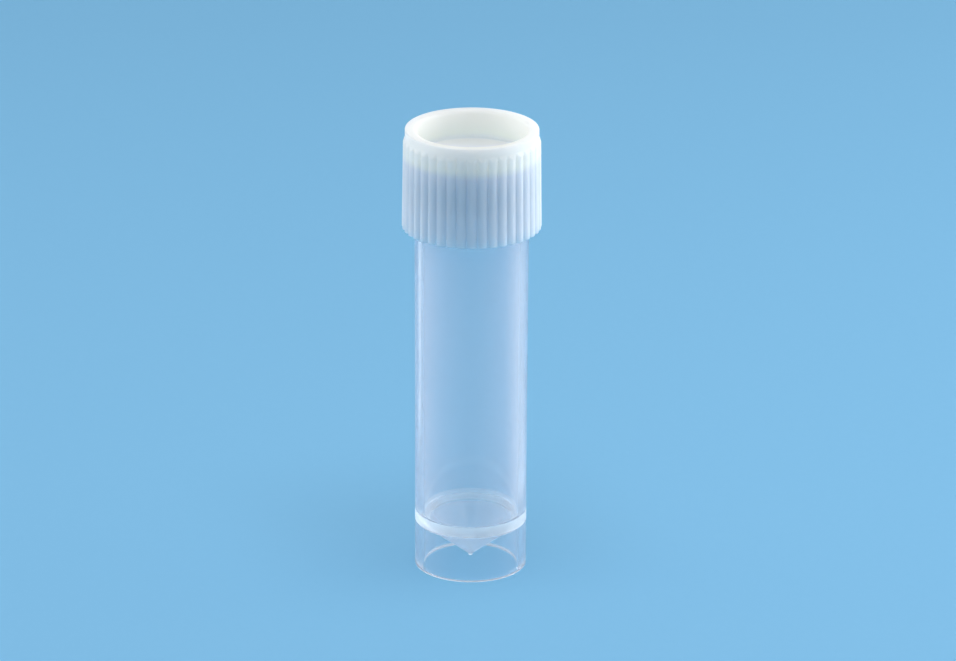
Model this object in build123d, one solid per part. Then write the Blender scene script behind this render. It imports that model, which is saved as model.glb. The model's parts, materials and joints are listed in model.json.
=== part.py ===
from build123d import *

import os
from math import atan2, cos, degrees, hypot, pi, radians, sin, tan

# A self-standing 5 ml cryovial: a moulded vial with a conical floor over an open skirt, a ribbed
# screw cap with an open top recess, and the silicone washer that seals one against the other.
# Millimetres. The origin is the centre of the base ring, and +Z runs up the vial's axis.

# ---- vial: shank, floor and skirt ------------------------------------------------------------
vial_height = 51.9          # base ring to mouth
shank_r = 6.93              # outside radius of the straight lower shank
seat_height = 24.0          # length of that straight shank, which stands in a rack
shank_draft = 0.08          # growth in radius from there up to the shoulder
wall = 1.05                 # wall of the shank at the floor
bore_draft = 0.07           # growth in bore radius from the floor to the mouth
skirt_wall = 1.05           # wall of the open skirt at the base ring
skirt_draft = 0.04          # the skirt's inside narrows by this up to the floor
floor_angle = 38.6          # slope of the conical floor, degrees from level
floor_thick = 1.3           # along the axis
tip_gap = 1.1               # base plane to the point where the outer cone would end
tip_r = 0.3                 # flat spot at the bottom of the sample space
gate_drop = 0.05            # the moulding gate's mark stands this far below that point
gate_r = 0.2                # flat end of the mark
gate_root_r = 0.32          # where the mark runs into the cone
base_edge = 0.2             # chamfers of the base ring, outside and inside
base_inner_edge = 0.12
floor_edge = 0.2            # chamfer where the floor meets the bore

# ---- vial: neck and mouth --------------------------------------------------------------------
neck_step = 0.36            # radius lost at the shoulder
shoulder_inset = 0.1        # the shoulder starts this far inside the cap's edge
mouth_edge = 0.25           # chamfers of the mouth, outside and inside
mouth_inner_edge = 0.15

# ---- screw thread ----------------------------------------------------------------------------
pitch = 2.5                 # single start, right hand
thread_height = 0.65
thread_root = 1.0           # width of the ridge where it leaves the wall
thread_crest = 0.4          # width of its flat crest
vial_turns = 1.5
cap_turns = 1.3
cap_lead = 0.2              # the cap's ridge starts this many turns before the vial's
thread_drop = 0.95          # mouth to the middle of the vial ridge's upper end
crest_gap = 0.15            # radial room over each crest
flank_gap = 0.17            # axial room between the flanks that pull the cap down
run_out_angle = 30.0        # slope of the ridge ends, degrees from the wall
root_bury = 0.12            # how far a ridge reaches into its wall

# ---- cap -------------------------------------------------------------------------------------
cap_height = 12.53
panel_thick = 0.9           # the panel that closes the cap
recess_depth = 3.4          # open recess above the panel
rim_wall = 1.37             # between the rim's outside and the recess
cap_wall = 0.65             # skirt wall behind the ribs
rim_step = 0.07             # the smooth rim stands proud of that wall
rib_count = 40
rib_height = 0.35           # crest above valley, at the cap's edge
valley_step = 0.10          # valleys above the wall
rib_draft = 0.16            # the ribs draw in by this up the cap
rib_top_drop = 0.9          # cap top to where the ribs have faded out
rib_fade = 0.75             # height over which they fade
rib_edge = 0.2              # chamfer of their lower ends
rib_overrun = 0.5           # the bars they are cut from run this far past them
rim_edge = 0.1              # chamfer of the rim's outside
lip_edge = 0.25             # and of its inside
recess_edge = 0.2           # chamfer round the recess floor
bore_lead = 0.3             # chamfer inside the cap's open edge
plug_wall = 1.0             # ring under the panel that centres the washer
plug_drop = 2.0
plug_lead = 0.4             # chamfer of the ring's outer lower edge
plug_gap = 0.1              # radial room between that ring and the washer
pocket_gap = 0.15           # radial room round the washer
pocket_flare = 0.35         # height over which its pocket opens out to the threaded bore

# ---- washer ----------------------------------------------------------------------------------
washer_thick = 0.8
washer_overhang = 0.05      # the washer reaches past the neck by this
washer_lap = 0.45           # and past the bore, inwards
washer_edge = 0.08          # chamfer of its edges

# ---- drafted walls ---------------------------------------------------------------------------
max_draft = 0.05            # a wall that leans less than this, radius over height, is a drafted one

# ---- sizes that follow -----------------------------------------------------------------------
panel_z = vial_height + washer_thick
recess_z = panel_z + panel_thick
top_z = recess_z + recess_depth
cap_z = top_z - cap_height
shoulder_z = cap_z + shoulder_inset
rib_top_z = top_z - rib_top_drop

bore_r = shank_r - wall
mouth_r = bore_r + bore_draft
skirt_r = shank_r - skirt_wall
skirt_top_r = skirt_r - skirt_draft
shank_top_r = shank_r + shank_draft
neck_r = shank_top_r - neck_step

cap_bore_r = neck_r + thread_height + crest_gap
core_r = cap_bore_r + cap_wall
rim_r = core_r + rim_step
recess_r = rim_r - rim_wall
valley_r = core_r + valley_step
crest_r = valley_r + rib_height

washer_r = neck_r + washer_overhang
washer_hole_r = mouth_r - washer_lap
pocket_r = washer_r + pocket_gap
plug_r = washer_hole_r - plug_gap

vial_thread_z = vial_height - thread_drop - vial_turns * pitch
flank_slope = (thread_root - thread_crest) / 2 / thread_height
mesh_offset = thread_root - flank_slope * (cap_bore_r - neck_r) + flank_gap


def turned(*corners):
    """A solid of revolution from the corners of its half section.

    Each corner is (radius, height), or (radius, height, chamfer) where it is broken.
    """
    outline = []
    for i, (r, z, *size) in enumerate(corners):
        if size:
            for near in (corners[i - 1], corners[(i + 1) % len(corners)]):
                part_way = size[0] / hypot(near[0] - r, near[1] - z)
                outline.append((r + part_way * (near[0] - r), z + part_way * (near[1] - z)))
        else:
            outline.append((r, z))
    sides = []
    for start, end in zip(outline, outline[1:] + outline[:1]):
        middle = ((start[0] + end[0]) / 2, (start[1] + end[1]) / 2)
        drafted = 0 < abs(end[0] - start[0]) < max_draft * abs(end[1] - start[1])
        sides.append(Bezier(start, middle, end) if drafted else Line(start, end))
    return revolve(Plane.XZ * make_face(sides), Axis.Z)


def thread_ridge(wall_r, height, start_z, start_turn, turns):
    """A helical ridge on a wall: outwards where height is positive, inwards where it is negative.

    start_z is the height of the ridge's middle at angle 0. Both ends slope down into the wall.
    """
    outward = 1 if height > 0 else -1
    foot_r = wall_r - outward * root_bury
    crest_at = wall_r + height
    foot = thread_root / 2 + flank_slope * root_bury
    crest = thread_crest / 2
    helix = Helix(pitch, turns * pitch, wall_r)
    section = make_face(
        Polyline((foot_r, -foot), (crest_at, -crest), (crest_at, crest), (foot_r, foot), close=True)
    )
    ridge = sweep(Plane.XZ * section, path=helix, is_frenet=True)
    # each end is cut by a block whose near face leans back over it, narrow enough to miss the next turn
    width = 0.96 * pitch
    depth = 6 * thread_height
    cutter = Box(width, depth, depth, align=(Align.CENTER, Align.CENTER, Align.MIN))
    lean = radians(run_out_angle)
    for end, way in ((0, -1), (turns, 1)):
        angle = 2 * pi * end
        away = Vector(cos(angle), sin(angle), 0)
        ahead = Vector(-sin(angle), cos(angle), 0)
        face = Plane(
            origin=wall_r * away + Vector(0, 0, end * pitch),
            x_dir=(0, 0, 1),
            z_dir=outward * cos(lean) * away + way * sin(lean) * ahead,
        )
        ridge -= face * cutter
    return Pos(0, 0, start_z + start_turn * pitch) * Rot(0, 0, 360 * start_turn) * ridge


def rib_ring():
    """The grip ribs: round bars side by side, leaning in up the cap and faded out at the top."""
    # one bar spans a rib: it passes through the crest and the two valleys beside it
    half_step = pi / rib_count
    rise_of_rib = crest_r - valley_r * cos(half_step)
    half_width = valley_r * sin(half_step)
    bar_r = (rise_of_rib ** 2 + half_width ** 2) / (2 * rise_of_rib)
    height = rib_top_z - cap_z
    length = hypot(height, rib_draft) + 2 * rib_overrun
    bar = Pos(0, 0, length / 2 - rib_overrun) * Cylinder(bar_r, length)
    bar = Pos(crest_r - bar_r, 0, cap_z) * Rot(0, -degrees(atan2(rib_draft, height)), 0) * bar
    bars = Part() + [Rot(0, 0, 360 * i / rib_count) * bar for i in range(rib_count)]

    inside = (cap_bore_r + core_r) / 2
    outside = crest_r + rib_overrun
    fade_run = rib_fade / (crest_r - rib_draft - core_r)
    envelope = turned(
        (inside, cap_z),
        (crest_r - rib_edge, cap_z),
        (outside, cap_z + rib_edge + rib_overrun),
        (outside, rib_top_z - fade_run * (outside - core_r)),
        (core_r, rib_top_z),
        (inside, rib_top_z),
    )
    return bars & envelope


def floor_under(r):
    """Height of the conical floor's underside at a radius."""
    return tip_gap + r * tan(radians(floor_angle))


def vial_body():
    """One moulding: skirt, conical floor, shank, shoulder and threaded neck."""
    body = turned(
        (skirt_r, 0, base_inner_edge),
        (shank_r, 0, base_edge),
        (shank_r, seat_height),
        (shank_top_r, shoulder_z),
        (neck_r, shoulder_z + neck_step),
        (neck_r, vial_height, mouth_edge),
        (mouth_r, vial_height, mouth_inner_edge),
        (bore_r, floor_under(bore_r) + floor_thick, floor_edge),
        (tip_r, floor_under(tip_r) + floor_thick),
        (0, floor_under(tip_r) + floor_thick),
        (0, tip_gap - gate_drop),
        (gate_r, tip_gap - gate_drop),
        (gate_root_r, floor_under(gate_root_r)),
        (skirt_top_r, floor_under(skirt_top_r)),
    )
    return body + thread_ridge(neck_r, thread_height, vial_thread_z, 0, vial_turns)


def screw_cap():
    """One moulding: rim, recess, panel, plug ring, threaded skirt and grip ribs."""
    pocket_z = vial_height - mouth_edge
    plug_z = panel_z - plug_drop
    rim_z = rib_top_z - rib_fade
    body = turned(
        (cap_bore_r, cap_z, bore_lead),
        (core_r, cap_z),
        (core_r, rim_z),
        (rim_r, rim_z),
        (rim_r, top_z, rim_edge),
        (recess_r, top_z, lip_edge),
        (recess_r, recess_z, recess_edge),
        (0, recess_z),
        (0, panel_z),
        (plug_r - plug_wall, panel_z),
        (plug_r - plug_wall, plug_z),
        (plug_r, plug_z, plug_lead),
        (plug_r, panel_z),
        (pocket_r, panel_z),
        (pocket_r, pocket_z),
        (cap_bore_r, pocket_z - pocket_flare),
    )
    thread = thread_ridge(cap_bore_r, -thread_height, vial_thread_z - mesh_offset, -cap_lead, cap_turns)
    return body + rib_ring() + thread


def seal_washer():
    """A flat silicone ring between the vial's mouth and the cap's panel."""
    return turned(
        (washer_hole_r, vial_height, washer_edge),
        (washer_r, vial_height, washer_edge),
        (washer_r, panel_z, washer_edge),
        (washer_hole_r, panel_z, washer_edge),
    )


os.makedirs("parts", exist_ok=True)
for name, build in (("vial_body", vial_body), ("screw_cap", screw_cap), ("seal_washer", seal_washer)):
    piece = build()
    export_step(piece, f"parts/{name}.step")
    print(name, "solids", len(piece.solids()), "volume", round(piece.volume, 2), "valid", piece.is_valid)
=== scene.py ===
# %% [markdown]
# A cryovial in three pieces
#
# A cryovial is a small plastic tube that keeps a sample in a freezer or in liquid nitrogen. This one
# has a clear vial that stands by itself on an open skirt, a white ribbed screw cap with a recess in
# its top, and a flat washer that the cap presses on the vial's mouth. All three are turned shapes,
# so the lesson is mostly about drawing half of a section well and spinning it. The two threads and
# the forty ribs are what is left, and each of those gets a step of its own.

# %% Load the frame
import json
from math import atan2, cos, hypot, radians, sin, sqrt, tan, tau

import bmesh
import bpy
from mathutils import Matrix, Vector


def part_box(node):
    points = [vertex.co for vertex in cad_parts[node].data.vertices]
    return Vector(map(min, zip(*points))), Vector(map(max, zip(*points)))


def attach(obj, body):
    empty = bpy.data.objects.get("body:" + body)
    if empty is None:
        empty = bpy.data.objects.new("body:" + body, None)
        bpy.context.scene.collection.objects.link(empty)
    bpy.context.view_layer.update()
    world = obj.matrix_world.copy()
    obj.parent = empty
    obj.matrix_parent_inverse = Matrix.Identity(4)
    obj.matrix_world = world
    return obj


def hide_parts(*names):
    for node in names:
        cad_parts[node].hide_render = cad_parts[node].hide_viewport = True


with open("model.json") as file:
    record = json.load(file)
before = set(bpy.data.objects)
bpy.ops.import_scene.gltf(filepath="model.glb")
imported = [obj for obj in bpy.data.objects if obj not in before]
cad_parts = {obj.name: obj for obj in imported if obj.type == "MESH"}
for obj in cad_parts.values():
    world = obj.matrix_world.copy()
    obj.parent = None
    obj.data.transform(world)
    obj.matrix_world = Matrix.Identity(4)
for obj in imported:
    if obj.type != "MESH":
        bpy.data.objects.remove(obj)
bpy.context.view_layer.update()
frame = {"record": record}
bpy.ops.object.select_all(action="DESELECT")

# %% [markdown]
# What the frame already fixes
#
# The engineering model fixes the main heights and widths, so those are read from it and never typed
# again: how tall the vial is, where the cap's edge lies, how thick the washer is, how fast the cap
# rises as it turns. What the frame's boxes can't say, such as a wall's thickness, is typed once, in
# the step that first needs it. It is typed in millimetres, which keeps the numbers readable, and one
# factor turns them into metres.

# %% Sizes
MM = 0.001
mounts = {mount["name"]: mount for mount in frame["record"]["mounts"]}
vial_low, vial_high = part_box("vial_body")
cap_low, cap_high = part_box("screw_cap")
washer_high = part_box("seal_washer")[1]

mouth_z = vial_high.z / MM
panel_z = washer_high.z / MM
cap_z = cap_low.z / MM
top_z = cap_high.z / MM
washer_r = washer_high.x / MM
crest_r = cap_high.x / MM
shank_r = mounts["rack_shank"]["dims"]["r_mm"]
recess_r = mounts["cap_recess"]["dims"]["r_mm"]
print(f"mouth {mouth_z:.2f}  panel {panel_z:.2f}  cap {cap_z:.2f} to {top_z:.2f} mm")

# %% [markdown]
# A half section, drawn and spun
#
# Every piece is a turned shape. A machinist would call its outline a half section: the line that a
# cut through the axis leaves on one side. It is drawn as a hand would draw it, one point extruded
# from the last, and filled. Each corner that is rounded on the real moulding gets a vertex bevel,
# which works on a flat face and so comes before the spin.

# %% Draw a half section
SAME_PLACE = 1e-6  # metres; closer points count as one
CORNER_STEPS = 5  # flats round each rounded corner


def only(piece):
    """Makes this piece the only one that is selected."""
    bpy.ops.object.select_all(action="DESELECT")
    piece.select_set(True)
    bpy.context.view_layer.objects.active = piece


def pick(piece, wanted):
    """In edit mode, selects the points whose place passes the test, and what lies between them."""
    bpy.ops.mesh.select_mode(type="VERT")
    bpy.ops.mesh.select_all(action="DESELECT")
    mesh = bmesh.from_edit_mesh(piece.data)
    for point in mesh.verts:
        point.select = wanted(point.co)
    mesh.select_flush(True)
    bmesh.update_edit_mesh(piece.data)


def draw_section(name, corners):
    """A flat face in the XZ plane, from its corners in mm.

    Each corner is (radius, height), or (radius, height, rounding) where it is rounded.
    """
    bpy.ops.object.select_all(action="DESELECT")
    first_r, first_z, *_ = corners[0]
    bpy.ops.mesh.primitive_plane_add(size=MM, location=(first_r * MM, 0, first_z * MM))
    section = bpy.context.object
    section.name = section.data.name = name
    bpy.ops.object.transform_apply(location=True, rotation=False, scale=False)
    bpy.ops.object.mode_set(mode="EDIT")
    bpy.ops.mesh.select_all(action="SELECT")
    bpy.ops.mesh.merge(type="CENTER")
    for here, there in zip(corners, corners[1:]):
        step = ((there[0] - here[0]) * MM, 0, (there[1] - here[1]) * MM)
        bpy.ops.mesh.extrude_vertices_move(TRANSFORM_OT_translate={"value": step})
    bpy.ops.mesh.select_all(action="SELECT")
    bpy.ops.mesh.edge_face_add()
    for r, z, *rounding in corners:
        if rounding:
            corner = Vector((r * MM, 0, z * MM))
            pick(section, lambda place: (place - corner).length < SAME_PLACE)
            bpy.ops.mesh.bevel(offset=rounding[0] * MM, segments=CORNER_STEPS, affect="VERTICES")
    return section


# %% [markdown]
# The spin itself
#
# Only the outline is spun. Its face would leave a wall inside the piece, and so would a side that
# lies on the axis, so both are deleted first. A full turn brings the last copy back onto the first:
# doubles are merged, which also closes the tips on the axis, and then the normals can be told which
# side is out.

# %% Spin it


def spin_outline(piece, steps, turn=tau):
    """Spins the open section about the axis, still in edit mode, and closes what meets."""
    bpy.ops.mesh.select_all(action="SELECT")
    bpy.ops.mesh.delete(type="ONLY_FACE")
    pick(piece, lambda place: abs(place.x) < SAME_PLACE)
    bpy.ops.mesh.delete(type="EDGE")
    bpy.ops.mesh.select_all(action="SELECT")
    bpy.ops.mesh.spin(steps=steps, angle=turn, center=(0, 0, 0), axis=(0, 0, 1))
    close_up()


def close_up():
    """Merges doubles and turns every face outwards, in edit mode."""
    bpy.ops.mesh.select_all(action="SELECT")
    bpy.ops.mesh.remove_doubles(threshold=SAME_PLACE)
    bpy.ops.mesh.normals_make_consistent(inside=False)


def say(piece):
    """Prints a piece's size and how closed its mesh is."""
    mesh = bmesh.new()
    mesh.from_mesh(piece.data)
    open_edges = sum(len(edge.link_faces) != 2 for edge in mesh.edges)
    triangles = sum(len(face.verts) - 2 for face in mesh.faces)
    size = [round(side / MM, 2) for side in piece.dimensions]
    volume = mesh.calc_volume(signed=True) / MM**3
    print(f"{piece.name}: {size} mm, {volume:.1f} mm3, {triangles} triangles, {open_edges} open edges")
    mesh.free()


# %% [markdown]
# The vial's body
#
# The vial is one injection moulding. A straight shank ends in a conical floor, and the wall runs on
# below the floor as an open skirt, so that a vial with a pointed inside stands on a flat ring. The
# tiny stub under the cone's point is where the plastic came in. The bore and the skirt's inside lean a
# fraction of a degree, as they must to leave their cores.

# %% Spin the vial
wall = 1.05
shank_draft = 0.08
bore_draft = 0.07
skirt_draft = 0.04
thread_height = 0.65
seat_z = 0.2  # a rack holds the shank from this height up
shoulder_inset = 0.1  # the shoulder starts this far inside the cap's edge
neck_step = 0.36
mouth_edge = 0.25
floor_slope = tan(radians(38.6))
floor_thick = 1.3
tip_gap = 1.1  # from the ground to where the cone's underside would come to a point
tip_r = 0.3
nub_drop = 0.05
nub_r = 0.2
nub_root_r = 0.32

straight_z = seat_z + mounts["rack_shank"]["dims"]["length_mm"]
shoulder_z = cap_z + shoulder_inset
shank_top_r = shank_r + shank_draft
neck_r = vial_high.x / MM - thread_height
bore_r = shank_r - wall
mouth_r = bore_r + bore_draft
skirt_r = shank_r - wall
skirt_top_r = skirt_r - skirt_draft


def floor_under(r):
    """Height of the conical floor's underside at a radius, in mm."""
    return tip_gap + floor_slope * r


def floor_over(r):
    """Height of the conical floor's top at a radius, in mm."""
    return floor_under(r) + floor_thick


vial = draw_section("vial", [
    (skirt_r, 0, 0.12),
    (shank_r, 0, 0.22),
    (shank_r, straight_z),
    (shank_top_r, shoulder_z, 0.12),
    (neck_r, shoulder_z + neck_step, 0.2),
    (neck_r, mouth_z, mouth_edge),
    (mouth_r, mouth_z, 0.15),
    (bore_r, floor_over(bore_r), 0.25),
    (tip_r, floor_over(tip_r), 0.15),
    (0, floor_over(tip_r)),
    (0, tip_gap - nub_drop),
    (nub_r, tip_gap - nub_drop, 0.06),
    (nub_root_r, floor_under(nub_root_r), 0.1),
    (skirt_top_r, floor_under(skirt_top_r), 0.2),
])
spin_outline(vial, steps=192)
bpy.ops.object.mode_set(mode="OBJECT")
say(vial)

# %% [markdown]
# A thread is a section that climbs as it turns
#
# The Screw modifier is made for this: it turns a section about the axis and lifts it by the pitch
# once a turn. The ridge starts a little inside the wall, so that the two overlap and can be joined
# by a Boolean. A moulded ridge doesn't stop short at its ends. It sinks into the wall over about
# fifteen degrees, so the last rows of points are shrunk towards the wall. How far the cap rises in a
# turn is already in the frame, as the ratio between its two joints, and that is the pitch.

# %% Wind a ridge
thread_pitch = tau / frame["record"]["behaviour"]["couplings"][0]["ratio"] / MM
ROWS_PER_TURN = 120
RUN_OUT_ROWS = 5
SAME_ROW = 0.1 / ROWS_PER_TURN  # turns
ridge_root = 1.0
ridge_crest = 0.4
ridge_edge = 0.08
ridge_bury = 0.12
ridge_tip = 0.1  # what is left of the last row, in steps of the run-out
flank = (ridge_root - ridge_crest) / 2 / thread_height
print(f"pitch {thread_pitch:.3f} mm")


def turns_along(place):
    """How many turns along a ridge from angle 0 and height 0 a point of it lies."""
    turn = atan2(place.y, place.x) / tau
    return turn + round(place.z / MM / thread_pitch - turn)


def wind_ridge(name, wall_r, height, turns):
    """A ridge on a wall, outwards where height is positive. It starts at angle 0 and height 0."""
    outward = 1 if height > 0 else -1
    foot_r = wall_r - outward * ridge_bury
    foot = ridge_root / 2 + flank * ridge_bury
    ridge = draw_section(name, [
        (foot_r, -foot),
        (wall_r + height, -ridge_crest / 2, ridge_edge),
        (wall_r + height, ridge_crest / 2, ridge_edge),
        (foot_r, foot),
    ])
    bpy.ops.mesh.select_all(action="SELECT")
    bpy.ops.mesh.delete(type="ONLY_FACE")
    bpy.ops.object.mode_set(mode="OBJECT")
    bpy.ops.object.modifier_add(type="SCREW")
    screw = ridge.modifiers[-1]
    screw.angle = tau * turns
    screw.screw_offset = thread_pitch * turns * MM
    screw.steps = screw.render_steps = round(ROWS_PER_TURN * turns)
    bpy.ops.object.modifier_apply(modifier=screw.name)
    bpy.ops.object.mode_set(mode="EDIT")
    for row in range(RUN_OUT_ROWS):
        left = (row + ridge_tip) / RUN_OUT_ROWS
        for turn in (row / ROWS_PER_TURN, turns - row / ROWS_PER_TURN):
            pick(ridge, lambda place: abs(turns_along(place) - turn) < SAME_ROW)
            angle = tau * turn
            foot_at = Vector((cos(angle) * foot_r, sin(angle) * foot_r, turn * thread_pitch))
            bpy.ops.transform.resize(value=(left, left, left), center_override=foot_at * MM)
    bpy.ops.mesh.select_all(action="SELECT")
    bpy.ops.mesh.fill_holes(sides=0)
    close_up()
    bpy.ops.object.mode_set(mode="OBJECT")
    return ridge


def weld_on(piece, extra):
    """Joins one closed solid to another that it overlaps."""
    only(piece)
    bpy.ops.object.modifier_add(type="BOOLEAN")
    union = piece.modifiers[-1]
    union.operation = "UNION"
    union.solver = "EXACT"
    union.object = extra
    bpy.ops.object.modifier_apply(modifier=union.name)
    bpy.data.objects.remove(extra)


vial_turns = 1.5
thread_drop = 0.95  # from the mouth to the middle of the ridge's upper end
vial_thread_z = mouth_z - thread_drop - vial_turns * thread_pitch
vial_ridge = wind_ridge("vial_ridge", neck_r, thread_height, vial_turns)
vial_ridge.location.z = vial_thread_z * MM
bpy.ops.object.transform_apply(location=True, rotation=False, scale=False)
say(vial_ridge)
weld_on(vial, vial_ridge)
say(vial)

# %% [markdown]
# One rib of the cap, with everything behind it
#
# The cap's ribs run all the way round, so the whole cap is forty equal slices. One slice is spun
# from the section, nine degrees wide, and holds its share of the rim, the recess, the panel, the
# ring under the panel and the skirt. Its outside is left plain for now, but it gets rows of points at
# the heights where a rib starts, fades and ends.

# %% Draw one slice of the cap
rib_count = 40
rib_height = 0.35
rib_draft = 0.16
rib_edge = 0.08
rib_fade = 0.75  # height over which a rib fades out
rib_top_drop = 0.9
valley_step = 0.10
rim_step = 0.07
crest_gap = 0.15  # between a ridge's crest and the wall that it faces
pocket_gap = 0.15
pocket_flare = 0.35
bore_lead = 0.3
washer_lap = 0.45  # how far the washer reaches in over the bore
ring_gap = 0.1
ring_wall = 1.0
ring_drop = 2.0
panel_thick = 0.9

rib_top_z = top_z - rib_top_drop
fade_z = rib_top_z - rib_fade
ring_z = panel_z - ring_drop
pocket_z = mouth_z - mouth_edge
recess_z = panel_z + panel_thick
valley_r = crest_r - rib_height
core_r = valley_r - valley_step
rim_r = core_r + rim_step
bore_wall_r = neck_r + thread_height + crest_gap
pocket_r = washer_r + pocket_gap
washer_hole_r = mouth_r - washer_lap
ring_r = washer_hole_r - ring_gap
ring_inner_r = ring_r - ring_wall

FADE_STEPS = 8
rows_above_edge = (0.01, 0.03, 0.05, rib_edge, 0.3, 4.0, 8.0)
rows = [cap_z + rise for rise in rows_above_edge]
rows += [fade_z + rib_fade * step / FADE_STEPS for step in range(-1, FADE_STEPS + 2)]
outside = [(core_r if row < fade_z else rim_r, row) for row in rows]

cap = draw_section("cap", [
    (bore_wall_r, cap_z + bore_lead, 0.1),
    (bore_wall_r + bore_lead, cap_z, 0.06),
    (core_r, cap_z),
    *outside,
    (rim_r, top_z, 0.12),
    (recess_r, top_z, 0.45),
    (recess_r, recess_z, 0.2),
    (0, recess_z),
    (0, panel_z),
    (ring_inner_r, panel_z, 0.3),
    (ring_inner_r, ring_z, 0.25),
    (ring_r, ring_z, 0.4),
    (ring_r, panel_z, 0.1),
    (pocket_r, panel_z, 0.1),
    (pocket_r, pocket_z, 0.1),
    (bore_wall_r, pocket_z - pocket_flare, 0.1),
])
SLICE = tau / rib_count
COLUMNS = 10
spin_outline(cap, steps=COLUMNS, turn=SLICE)
print(f"one slice: {len(bmesh.from_edit_mesh(cap.data).verts)} points before its rib")

# %% [markdown]
# The rib is pulled out of the slice
#
# A rib's outside is part of a round bar that leans in a little towards the top, as the mould needs.
# Each column of each row is resized about the axis until it lies on that bar. At the cap's edge the
# rib is rounded off, and at the top it fades into the smooth rim, which stands a little proud of the
# valleys. Working a row at a time, the way a clay model is turned against a template, keeps the mesh
# in clean quads.

# %% Pull out the rib
CLOSE = 0.001  # mm up the cap, and radians round it; nearer points are in the same row or column
SKIN = 0.01  # mm; the outside starts this far inside the wall behind the ribs
rim_blend = 0.2  # height over which the rim steps out
half_slice = SLICE / 2
rib_reach = crest_r - valley_r * cos(half_slice)
rib_half_width = valley_r * sin(half_slice)
bar_r = (rib_reach**2 + rib_half_width**2) / (2 * rib_reach)


def eased(share):
    """0 below 0, 1 above 1, and smooth between."""
    share = min(max(share, 0), 1)
    return share * share * (3 - 2 * share)


def cap_radius(angle, z):
    """The cap's outside radius at an angle from a rib's crest and at a height."""
    lean = rib_draft * (z - cap_z) / (rib_top_z - cap_z)
    centre = crest_r - lean - bar_r
    lobe = centre * cos(angle) + sqrt(bar_r**2 - (centre * sin(angle)) ** 2)
    below_edge = max(rib_edge - (z - cap_z), 0)
    edge = crest_r - rib_edge + sqrt(rib_edge**2 - below_edge**2)
    full = crest_r - rib_draft
    fade = full - (full - core_r) * (z - fade_z) / rib_fade
    rim = core_r + (rim_r - core_r) * eased((z - fade_z) / rim_blend + 0.5)
    return max(min(lobe, edge, fade if z > fade_z else lobe), rim)


for row in [cap_z, *rows]:
    for column in range(COLUMNS // 2 + 1):
        angle = half_slice * column / (COLUMNS // 2)

        def on_column(place):
            slices = atan2(place.y, place.x) / SLICE
            from_crest = abs(slices - round(slices)) * SLICE
            outer = hypot(place.x, place.y) > (core_r - SKIN) * MM
            return outer and abs(place.z / MM - row) < CLOSE and abs(from_crest - angle) < CLOSE

        pick(cap, on_column)
        plain = core_r if row < fade_z else rim_r
        share = cap_radius(angle, row) / plain
        bpy.ops.transform.resize(value=(share, share, 1), center_override=(0, 0, 0))
at_crest = cap_radius(0, cap_z + 1)
at_valley = cap_radius(half_slice, cap_z + 1)
print(f"rib from {at_crest:.3f} at its crest to {at_valley:.3f} mm")

# %% [markdown]
# Forty slices make the ring
#
# The same spin tool can also copy instead of sweep. Thirty-nine copies and the slice itself fill the
# circle, and merging the doubles along their sides makes one closed shell.

# %% Copy the slice round the axis
bpy.ops.mesh.select_all(action="SELECT")
around = tau - SLICE
bpy.ops.mesh.spin(steps=rib_count - 1, angle=around, dupli=True, center=(0, 0, 0), axis=(0, 0, 1))
close_up()
bpy.ops.object.mode_set(mode="OBJECT")
say(cap)

cap_turns = 1.3
cap_lead = 0.2
flank_gap = 0.17  # between the flanks that pull the cap down
ridge_gap = ridge_root - flank * (bore_wall_r - neck_r) + flank_gap
cap_ridge = wind_ridge("cap_ridge", bore_wall_r, -thread_height, cap_turns)
cap_ridge.rotation_euler.z = -tau * cap_lead
cap_ridge.location.z = (vial_thread_z - ridge_gap - cap_lead * thread_pitch) * MM
bpy.ops.object.transform_apply(location=True, rotation=True, scale=False)
say(cap_ridge)
weld_on(cap, cap_ridge)
say(cap)

# %% [markdown]
# The washer
#
# A flat ring of silicone rubber lies between the vial's mouth and the cap's panel. It hides under the
# cap, and shows only when the cap is off. A real one is squeezed a little between the two. Here it
# keeps a hair's gap to each, because two faces in one plane flicker when they are rendered.

# %% Spin the washer
HAIR = 0.01
washer_edge = 0.12
washer = draw_section("washer", [
    (washer_hole_r, mouth_z + HAIR, washer_edge),
    (washer_r, mouth_z + HAIR, washer_edge),
    (washer_r, panel_z - HAIR, washer_edge),
    (washer_hole_r, panel_z - HAIR, washer_edge),
])
spin_outline(washer, steps=144)
bpy.ops.object.mode_set(mode="OBJECT")
say(washer)

# %% [markdown]
# Smooth where it is smooth
#
# A turned shape looks faceted until its faces are shaded smooth, and muddy if its edges are shaded
# smooth too. The angle decides which is which. The rounded corners then share their normals with
# long straight walls, which would bend reflections a long way down a wall, so a Weighted Normal
# modifier lets the large faces decide.

# %% Shade the pieces
for piece in (vial, cap, washer):
    only(piece)
    bpy.ops.object.shade_smooth_by_angle(angle=radians(34))
    bpy.ops.object.modifier_add(type="WEIGHTED_NORMAL")
    weighted = piece.modifiers[-1]
    weighted.keep_sharp = True
    bpy.ops.object.modifier_apply(modifier=weighted.name)
    print(piece.name, "custom normals", piece.data.has_custom_normals)

# %% [markdown]
# Shader maths that reads like maths
#
# A material is a graph of nodes. Wiring it by hand hides the idea, so one small class wraps a
# socket and gives it plus, times and divided by, each of which adds a Math node. Every other node
# comes from one method that takes the node's kind, its settings and what goes into its sockets. The
# finishes need patterns in real millimetres, so patterns read the piece's own coordinates, in
# metres, and a grain of 0.5 mm is a noise of scale 2000.

# %% A finish and its wires


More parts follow.
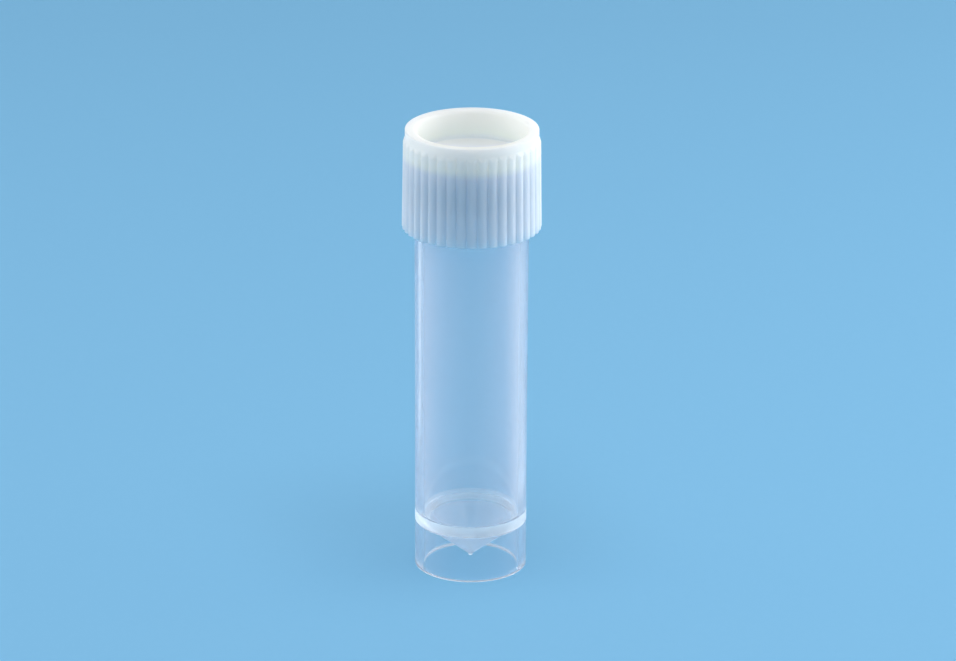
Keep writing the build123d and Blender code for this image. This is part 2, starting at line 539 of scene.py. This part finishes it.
class Wire:
    """An output socket of a finish. Arithmetic on it adds Math nodes."""

    def __init__(self, finish, socket):
        self.finish = finish
        self.socket = socket

    def math(self, operation, *others):
        """This wire, and any others, through a Math node."""
        values = dict(enumerate((self, *others)))
        return self.finish.node("Math", {"operation": operation}, values)

    def __add__(self, other):
        return self.math("ADD", other)

    def __mul__(self, other):
        return self.math("MULTIPLY", other)

    def __truediv__(self, other):
        return self.math("DIVIDE", other)

    __radd__ = __add__
    __rmul__ = __mul__


class Finish:
    """A material, or the world, built node by node."""

    def __init__(self, name, kind="materials"):
        self.owner = getattr(bpy.data, kind).new(name)
        self.owner.use_nodes = True
        self.tree = self.owner.node_tree
        self.tree.nodes.clear()
        self.place = self.node("TexCoord", output="Object")

    def node(self, kind, settings=None, inputs=None, output=0):
        """Adds a node: its settings first, then the values or wires of its sockets."""
        node = self.tree.nodes.new("ShaderNode" + kind)
        for name, value in (settings or {}).items():
            setattr(node, name, value)
        for name, value in (inputs or {}).items():
            if isinstance(value, Wire):
                self.tree.links.new(value.socket, node.inputs[name])
            else:
                node.inputs[name].default_value = value
        return Wire(self, node.outputs[output]) if node.outputs else None

    def height(self):
        """Height above the floor, in millimetres."""
        return self.node("SeparateXYZ", inputs={"Vector": self.place}, output="Z") * (1 / MM)

    def radius(self):
        """Distance from the axis, in millimetres."""
        flat = self.node("VectorMath", {"operation": "MULTIPLY"}, {0: self.place, 1: (1, 1, 0)})
        return self.node("VectorMath", {"operation": "LENGTH"}, {0: flat}, "Value") * (1 / MM)

    def grain(self, size, detail=2.0, stretch=1.0):
        """Noise from 0 to 1 whose lumps are about this many millimetres wide, and stretched upwards."""
        upright = (1, 1, 1 / stretch)
        place = self.node("VectorMath", {"operation": "MULTIPLY"}, {0: self.place, 1: upright})
        lumps = {"Vector": place, "Scale": 1 / (size * MM), "Detail": detail}
        return self.node("TexNoise", inputs=lumps)

    def rise(self, value, start, end):
        """0 where value is at start, 1 where it is at end, and smooth between."""
        limits = {"Value": value, "From Min": start, "From Max": end}
        return self.node("MapRange", {"interpolation_type": "SMOOTHSTEP"}, limits)

    def band(self, value, start, end, soft):
        """1 from start to end, and 0 beyond, with soft edges."""
        return self.rise(value, start - soft, start + soft) * self.rise(value, end + soft, end - soft)

    def tint(self, share, first, second):
        """A colour between two, by a share from 0 to 1. Each is a wire, or its red, green and blue."""
        ends = [colour if isinstance(colour, Wire) else (*colour, 1) for colour in (first, second)]
        sockets = {"Factor": share, 6: ends[0], 7: ends[1]}
        return self.node("Mix", {"data_type": "RGBA"}, sockets, output=2)

    def bump(self, height, depth):
        """A normal for a surface whose height, from 0 to 1, is this many millimetres deep."""
        return self.node("Bump", inputs={"Height": height, "Distance": depth * MM})

    def plastic(self, **sockets):
        """A Principled shader. The sockets' names are given with _ for each space."""
        named = {name.replace("_", " "): value for name, value in sockets.items()}
        return self.node("BsdfPrincipled", inputs=named)

    def layer(self, share, under, over):
        """One shader over another, by a share from 0 to 1."""
        return self.node("MixShader", inputs={"Fac": share, 1: under, 2: over})

    def put_on(self, piece, shader):
        """Ends the graph in this shader and makes it the piece's only material."""
        self.node("OutputMaterial", inputs={"Surface": shader})
        piece.data.materials.clear()
        piece.data.materials.append(self.owner)
        print(f"{piece.name}: {self.owner.name}, {len(self.tree.nodes)} nodes")


# %% [markdown]
# Where the clear plastic looks white
#
# Polypropylene is not glass. Tiny crystals in it scatter a little light, so a thin wall is clear with
# a faint lavender veil, and thick plastic is white. A volume full of scattering would show that, but
# it renders slowly and few programs read it. So the surface carries the milk, and masks say how
# much. Most is on the ring where the conical floor meets the wall. A line of sight from above sinks
# while it crosses the wall, so that mask sits a little above the ring. The milk on the foot's outer
# edge, the lip and the mark under the cone is a painted highlight, standing in for the light that an
# edge catches. Inside, where the cone meets the bore, more milk is painted light over a ring that
# would render dark grey. Any wall is milkier where it is seen edge on, since the light runs further
# in it. Layer Weight gives that.

# %% Mask the milk
clear = Finish("clear_polypropylene")
height = clear.height()
radius = clear.radius()
joint_low = floor_under(skirt_top_r)
joint_high = floor_over(bore_r)
sink = 0.27  # how far the line of sight drops in the wall

veil = clear.rise(height, joint_low, joint_high) * (0.05 + 0.02 * clear.grain(0.3))
cloud = 0.05 * clear.grain(6, stretch=3)
edge_on = 0.18 * clear.node("LayerWeight", inputs={"Blend": 0.5}, output="Facing")

outer_skin = clear.rise(radius, shank_r - 0.5, shank_r - 0.1)
joint = clear.band(height, joint_low + sink, joint_high + sink, 0.05) * outer_skin
in_bore = clear.rise(radius, bore_r - 0.1, bore_r - 0.3)
# Partly the cone's own cloudiness, and partly painted light that hides a dark line where the cone meets
# the bore.
cone = in_bore * clear.rise(height, joint_high + 0.3, joint_high)
# Painted light: milk that whitens the ring inside the cone's outer edge, which the wall's refraction
# renders dark grey.
corner_width = clear.band(radius, bore_r - 0.8, bore_r + 0.2, 0.2)
corner = corner_width * clear.band(height, joint_high - 0.8, joint_high, 0.1)
# Painted highlights: milk on the foot's outer edge, the lip and the mark under the cone, for the light
# an edge catches.
foot = clear.rise(height, 0.28, 0.16) * clear.rise(radius, shank_r - 0.45, shank_r - 0.2)
lip = clear.rise(height, mouth_z - 0.5, mouth_z - 0.05)
gate = clear.rise(radius, nub_root_r + 0.2, nub_r)

# solid adds the thick ring's own whiteness to the painted light and painted highlights above.
solid = 0.3 * joint + 0.15 * cone + 0.35 * corner + 0.3 * (foot + lip + gate)
milk = veil + cloud + edge_on + solid
print(f"the milky ring lies from {joint_low:.2f} to {joint_high:.2f} mm")

# %% [markdown]
# The vial's finish
#
# The clear part is a glass shader. Its gloss wavers slightly, as a moulded wall does, and it grows
# cloudy where the plastic is thick. The milk over it is lit from both sides, because light passes
# through a wall: half of it is an ordinary plastic, and half is a translucent shader. Lamps must
# reach the inside of the vial and the floor behind it. Glass stops a lamp's shadow rays, and the
# light that bounces between surfaces, so for those rays alone the wall is nearly clear.

# %% Finish the vial
POLYPROPYLENE_IOR = 1.49
waves = clear.bump(clear.grain(5, detail=1, stretch=2), 0.012)
glass = clear.plastic(
    Base_Color=(0.99, 0.995, 1.0, 1),
    Roughness=0.02 + 0.04 * clear.grain(0.12, detail=3) + 0.6 * solid,
    IOR=POLYPROPYLENE_IOR,
    Transmission_Weight=1.0,
    Normal=waves,
)
lavender = (0.74, 0.70, 0.80)
cool_white = (0.90, 0.96, 0.99)
milk_colour = clear.tint(clear.rise(solid, 0, 0.3), lavender, cool_white)
lit_side = clear.plastic(
    Base_Color=milk_colour,
    Roughness=0.4,
    IOR=POLYPROPYLENE_IOR,
    Normal=waves,
)
far_side = clear.node("BsdfTranslucent", inputs={"Color": milk_colour, "Normal": waves})
body = clear.layer(milk, glass, clear.layer(0.5, lit_side, far_side))
through = clear.node("BsdfTransparent", inputs={"Color": (0.965, 0.975, 0.985, 1)})
for kind_of_ray in ("Is Diffuse Ray", "Is Shadow Ray"):
    body = clear.layer(clear.node("LightPath", output=kind_of_ray), body, through)
clear.put_on(vial, body)

# %% [markdown]
# White polyethylene
#
# The cap is a softer, waxy plastic. Light enters it, spreads a few millimetres and comes out again,
# which softens the shading between its ribs. That is what the subsurface sockets do. Below the panel
# the cap is a thin shell over a dark space, so its colour there is painted cooler and darker than the
# solid rim: painted shade for that dark space.
# The recess's own wall is painted a little darker too: painted shade, since light reaches it only
# from above. The surface copies a steel mould that was spark-eroded, so it has a very fine grain, and
# it is a little duller in the valleys, where fingers never polish it.

# %% The cap's finish
white = Finish("white_polyethylene")
height = white.height()
radius = white.radius()
spark = white.grain(0.08, detail=4)
flow = white.grain(4, stretch=2)

# Painted shade: below the panel the thin shell is coloured cooler and darker for the dark space behind
# it.
shell_painted_shade = white.tint(white.grain(2.5), (0.785, 0.81, 0.885), (0.755, 0.79, 0.885))
block = white.tint(flow, (0.965, 0.975, 0.86), (0.945, 0.96, 0.84))
# Painted shade: the recess wall is coloured darker and greener, as light reaches it only from above.
recess_wall = white.band(radius, recess_r - 0.5, recess_r, 0.2)
recess_painted_shade = recess_wall * white.rise(height, top_z - 0.4, recess_z)
rim_colour = white.tint(recess_painted_shade, block, (0.80, 0.88, 0.83))
thick = white.rise(height, panel_z + 0.2, panel_z + 1.7)
valley = white.rise(radius, crest_r, valley_r)
white.put_on(cap, white.plastic(
    Base_Color=white.tint(thick, shell_painted_shade, rim_colour),
    Roughness=0.46 + 0.10 * valley + 0.06 * spark,
    Specular_IOR_Level=0.35,
    Subsurface_Weight=1.0,
    Subsurface_Radius=(1.0, 0.95, 0.9),
    Subsurface_Scale=4.0 * MM,
    IOR=1.5,
    Normal=white.bump(spark + 0.5 * flow, 0.006),
))

# %% [markdown]
# Silicone rubber
#
# The washer is soft and slightly cloudy, with a dull skin. It is mostly hidden, so its finish is the
# cap's idea again. Light goes less deep into it, and its grain is coarser.

# %% The washer's finish
soft = Finish("silicone_rubber")
dust = soft.grain(0.15, detail=3)
soft.put_on(washer, soft.plastic(
    Base_Color=soft.tint(soft.grain(1.2), (0.80, 0.83, 0.84), (0.74, 0.78, 0.80)),
    Roughness=0.5 + 0.15 * dust,
    Subsurface_Weight=0.8,
    Subsurface_Radius=(1.0, 0.95, 0.9),
    Subsurface_Scale=1.5 * MM,
    IOR=1.41,
    Normal=soft.bump(dust, 0.008),
))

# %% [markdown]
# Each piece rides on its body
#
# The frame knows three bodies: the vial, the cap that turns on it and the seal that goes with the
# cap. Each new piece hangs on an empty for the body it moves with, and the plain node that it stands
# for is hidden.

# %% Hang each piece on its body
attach(vial, "vial")
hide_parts("vial_body")
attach(cap, "cap")
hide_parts("screw_cap")
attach(washer, "seal")
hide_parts("seal_washer")
print("pieces and bodies", {"vial": "vial", "cap": "cap", "washer": "seal"})

# %% [markdown]
# The floor
#
# A pale blue sheet that runs out of sight, so that there is no horizon and a white cap stands out
# from it. A sheet of card is never one flat colour, so it has a very faint fibre grain. It has no
# gloss, because a glossy one would mirror the lamps and cards beside the vial.

# %% Lay the floor
floor_size = 4  # metres
floor_middle = (0, 0.6, -0.03 * MM)  # further behind than in front, and a hair below the vial
bpy.ops.object.select_all(action="DESELECT")
bpy.ops.mesh.primitive_plane_add(size=floor_size, location=floor_middle)
floor = bpy.context.object
floor.name = "floor"
bpy.ops.object.transform_apply(location=True, rotation=False, scale=False)
sheet = Finish("floor_card")
fibre = sheet.grain(1.2, detail=4)
sheet.put_on(floor, sheet.plastic(
    Base_Color=sheet.tint(fibre, (0.215, 0.500, 0.765), (0.225, 0.510, 0.775)),
    Roughness=0.8,
    Specular_IOR_Level=0.0,
))

# %% [markdown]
# Soft light from the sides
#
# A wide soft lamp on each side, a little behind the vial, brightens the cap's sides and leaves its
# front calmer, which shows how round it is. A weak lamp above lights the rim and the recess. Each is
# large for its distance, so that no shadow has a hard edge.

# %% Hang the lamps
middle = Vector((0, 0, 30 * MM))


def hang_lamp(name, azimuth, elevation, distance, width, tall, watts):
    """A soft lamp that faces the vial. Azimuth 0 is in front, and 90 is to the right."""
    turn, lift = radians(azimuth), radians(elevation)
    away = Vector((sin(turn) * cos(lift), -cos(turn) * cos(lift), sin(lift)))
    bpy.ops.object.light_add(type="AREA", location=middle + away * distance)
    lamp = bpy.context.object
    lamp.name = name
    lamp.rotation_euler = away.to_track_quat("Z", "Y").to_euler()
    lamp.data.shape = "RECTANGLE"
    lamp.data.size, lamp.data.size_y = width, tall
    lamp.data.energy = watts
    print(f"{name}: {watts} W at {azimuth} degrees")


# distances and sizes in metres
hang_lamp("wide_right", azimuth=100, elevation=9, distance=0.5, width=0.4, tall=0.2, watts=1.95)
hang_lamp("wide_left", azimuth=-100, elevation=12, distance=0.6, width=0.3, tall=0.25, watts=1.3)
hang_lamp("above", azimuth=20, elevation=78, distance=0.6, width=0.4, tall=0.4, watts=1.7)

# %% [markdown]
# White cards beside the clear wall
#
# Clear plastic shows its shape by what it reflects. An upright wall seen from above reflects the
# table, so a photographer lays white cards there. A narrow card at the left gives the thin bright
# line down that edge, a wide faint one widens it, and a wide one at the right gives a broad pale
# sheen. Each glows, and fades out at its edges by a mask on its own coordinates. It shows in
# reflections alone, so the table stays plain.

# %% Lay the cards


def lay_card(name, azimuth, near, far, spread, brightness):
    """A glowing card on the table, soft at its edges, which shows in reflections alone.

    It fans out from the vial. It begins between two distances, in near, and ends at far, in mm.
    spread is its width over its distance.
    """
    bpy.ops.object.select_all(action="DESELECT")
    bpy.ops.mesh.primitive_plane_add(size=2 * far * MM, location=(0, 0, MM))
    card = bpy.context.object
    card.name = name
    card.rotation_euler.z = radians(azimuth)
    paper = Finish(name)
    sideways = paper.node("SeparateXYZ", inputs={"Vector": paper.place}, output="X").math("ABSOLUTE")
    outward = paper.node("SeparateXYZ", inputs={"Vector": paper.place}, output="Y") * (-1 / MM)
    across = paper.rise(sideways / (outward * MM), spread / 2, 0)
    along = paper.rise(outward, near[0], near[1]) * paper.rise(outward, far, 0.7 * far)
    bare_table = paper.node("BsdfTransparent")
    glow = paper.node("Emission", inputs={"Strength": brightness})
    paper.put_on(card, paper.layer(across * along, bare_table, glow))
    card.visible_camera = card.visible_transmission = False
    card.visible_diffuse = card.visible_shadow = False


lay_card("card_left", azimuth=-125, near=(20, 80), far=170, spread=0.5, brightness=5)
lay_card("card_left_wide", azimuth=-100, near=(18, 30), far=170, spread=1.7, brightness=1.0)
lay_card("card_right", azimuth=106, near=(18, 30), far=170, spread=1.8, brightness=1.9)

# %% [markdown]
# The world
#
# The world fills in from all round. It is dimmer and a little cooler in front, as in a room that is
# lit from the sides. Reflections, and what the clear wall bends, see a plain bright world instead,
# because a dark one would draw brown edges in the plastic.

# %% Fill in from all round
sky = Finish("studio", kind="worlds")
direction = sky.node("TexCoord", output="Generated")
to_the_back = sky.node("SeparateXYZ", inputs={"Vector": direction}, output="Y")
share = sky.node("MapRange", inputs={"Value": to_the_back, "From Min": -1.0, "From Max": 0.2})
dim_front = (0.105, 0.135, 0.17)
grey_back = (0.52, 0.52, 0.52)
surround = sky.node("Background", inputs={"Color": sky.tint(share, dim_front, grey_back)})
bright = sky.node("Background", inputs={"Color": (0.80, 0.90, 1.0, 1)})
for kind_of_ray in ("Is Glossy Ray", "Is Transmission Ray"):
    surround = sky.layer(sky.node("LightPath", output=kind_of_ray), surround, bright)
sky.node("OutputWorld", inputs={"Surface": surround})
bpy.context.scene.world = sky.owner
bpy.context.scene.view_settings.view_transform = "Standard"
print(f"{sky.owner.name}: {len(sky.tree.nodes)} nodes")

# %% [markdown]
# The camera
#
# A long lens from well back keeps the walls upright, as a catalogue picture does, and a view from
# about 21 degrees above shows the recess in the cap and the ring that the vial stands on. The camera
# is aimed by three directions, ahead, right and up, which make up its turn as a matrix. It is a
# fraction of a degree off level, as a tripod is.

# %% Place the camera
look_down = radians(20.7687)
distance = 0.673985  # metres
heart = Vector((0, 0, (cap_high.z - vial_low.z) / 2))
side = Vector((1, 0, 0))
ahead = Vector((0, cos(look_down), -sin(look_down)))
upward = side.cross(ahead)

pitch, yaw, roll = radians(0.182), radians(0.07), radians(0.241)
aim = ahead * cos(pitch) * cos(yaw) + upward * sin(pitch) + side * sin(yaw) * cos(pitch)
level = aim.cross(Vector((0, 0, 1))).normalized()
over = level.cross(aim)
right = level * cos(roll) + over * sin(roll)
over = over * cos(roll) - level * sin(roll)

bpy.ops.object.camera_add(location=heart - ahead * distance)
camera = bpy.context.object
camera.rotation_euler = Matrix((right, over, -aim)).transposed().to_euler()
camera.data.sensor_width = 36
camera.data.lens = 206.03
camera.data.clip_start = 0.01
bpy.context.scene.camera = camera
print("camera at", [round(value, 4) for value in camera.location])
